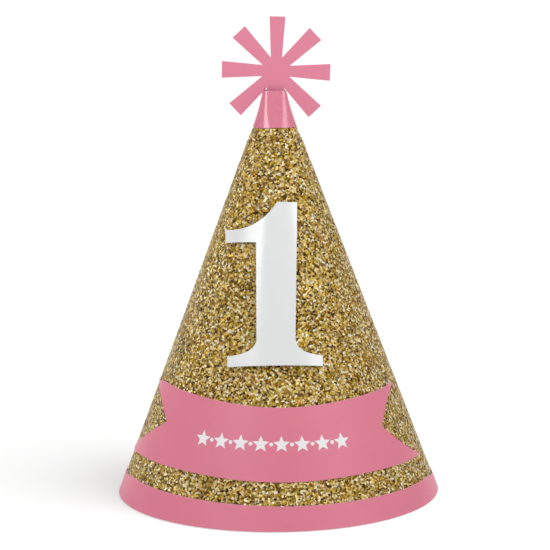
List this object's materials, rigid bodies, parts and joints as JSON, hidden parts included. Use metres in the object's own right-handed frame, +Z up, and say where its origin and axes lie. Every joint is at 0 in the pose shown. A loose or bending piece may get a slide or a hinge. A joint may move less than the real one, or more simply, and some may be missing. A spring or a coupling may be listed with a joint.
{
  "type": "cone party hat with starburst topper",
  "caption": "Rolled card cone party hat with glitter face, pink hem band and swallowtail banner, raised figure and a push-in starburst topper.",
  "frame": {"origin": "centre of the open hem, on the surface that the hat stands on", "axes": "+Z up along the cone's axis to the tip; the front, with the figure and the banner, faces -Y; the lapped edge is at the back, at +Y"},
  "size_m": [0.127, 0.1277, 0.1897],
  "materials": {
    "glitter_card": "satin",
    "pink_paper": "matte",
    "pink_gloss_paper": "gloss",
    "pink_card": "matte",
    "white_card": "satin",
    "white_foam": "matte",
    "clear_glue": "satin"
  },
  "bodies": {
    "hat": {"cone_shell": "glitter_card", "seam_glue_strip": "clear_glue", "hem_band": "pink_paper", "banner": "pink_paper", "tip_cap": "pink_gloss_paper", "numeral_one": "white_card", "foam_pad_flag": "white_foam", "foam_pad_stem_high": "white_foam", "foam_pad_stem_low": "white_foam", "foam_pad_foot_left": "white_foam", "foam_pad_foot_right": "white_foam"},
    "topper": {"topper": "pink_card"}
  },
  "joints": [
    {"name": "topper_slide", "type": "slide", "parent": "hat", "child": "topper", "axis": [0.0384, 0, 0.9993], "range_m": [0, 0.016]}
  ]
}
